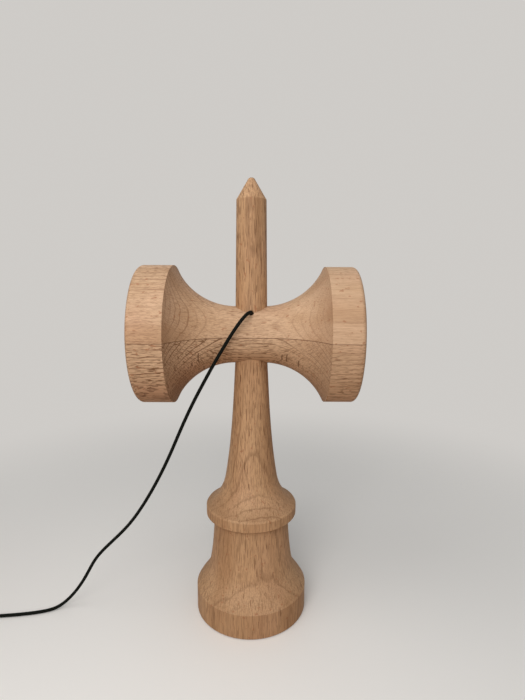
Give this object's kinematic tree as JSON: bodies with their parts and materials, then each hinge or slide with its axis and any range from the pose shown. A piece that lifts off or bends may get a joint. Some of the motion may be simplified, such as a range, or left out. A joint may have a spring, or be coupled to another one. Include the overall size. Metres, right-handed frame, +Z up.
{
  "type": "cup and ball toy",
  "caption": "Turned wooden cup and ball toy: a spiked handle with a cup in its foot, a crosspiece with a cup at each end, and a drilled ball on a string.",
  "frame": {"origin": "centre of the foot's rim, on the surface that the toy stands on", "axes": "+Z up the handle to the spike, +X along the crosspiece towards the small cup, -Y towards the front where the string comes out"},
  "size_m": [0.2314, 0.0654, 0.16],
  "materials": {
    "handle_beech": "bare turned beech, matte",
    "crosspiece_beech": "bare turned beech, matte",
    "ball_beech": "bare turned beech, matte",
    "bead_wood": "bare turned wood, matte",
    "cord": "braided cord, dark green-black"
  },
  "bodies": {
    "handle": {"handle": "handle_beech", "handle_knot": "cord", "string": "cord"},
    "crosspiece": {"crosspiece_upper_half": "crosspiece_beech", "crosspiece_lower_half": "crosspiece_beech"},
    "string_end": {"string_coil": "cord", "coil_tie": "cord", "string_tail": "cord", "bead": "bead_wood", "bead_knot": "cord"},
    "ball": {"ball": "ball_beech"}
  },
  "joints": [
    {"name": "crosspiece_pull", "type": "slide", "parent": "handle", "child": "crosspiece", "axis": [0, 0, 1], "range_m": [0, 0.066], "deforming": ["string"]},
    {"name": "ball_swing", "type": "hinge", "parent": "handle", "child": "string_end", "pos_m": [0, -0.0064, 0.1145], "axis": [0, 0.9659, 0.2588], "range_deg": [0, 190], "deforming": ["string"]},
    {"name": "ball_spin", "type": "hinge", "parent": "string_end", "child": "ball", "pos_m": [-0.16492, -0.011, 0.03], "axis": [-0.766, 0, 0.6428], "continuous": true}
  ]
}
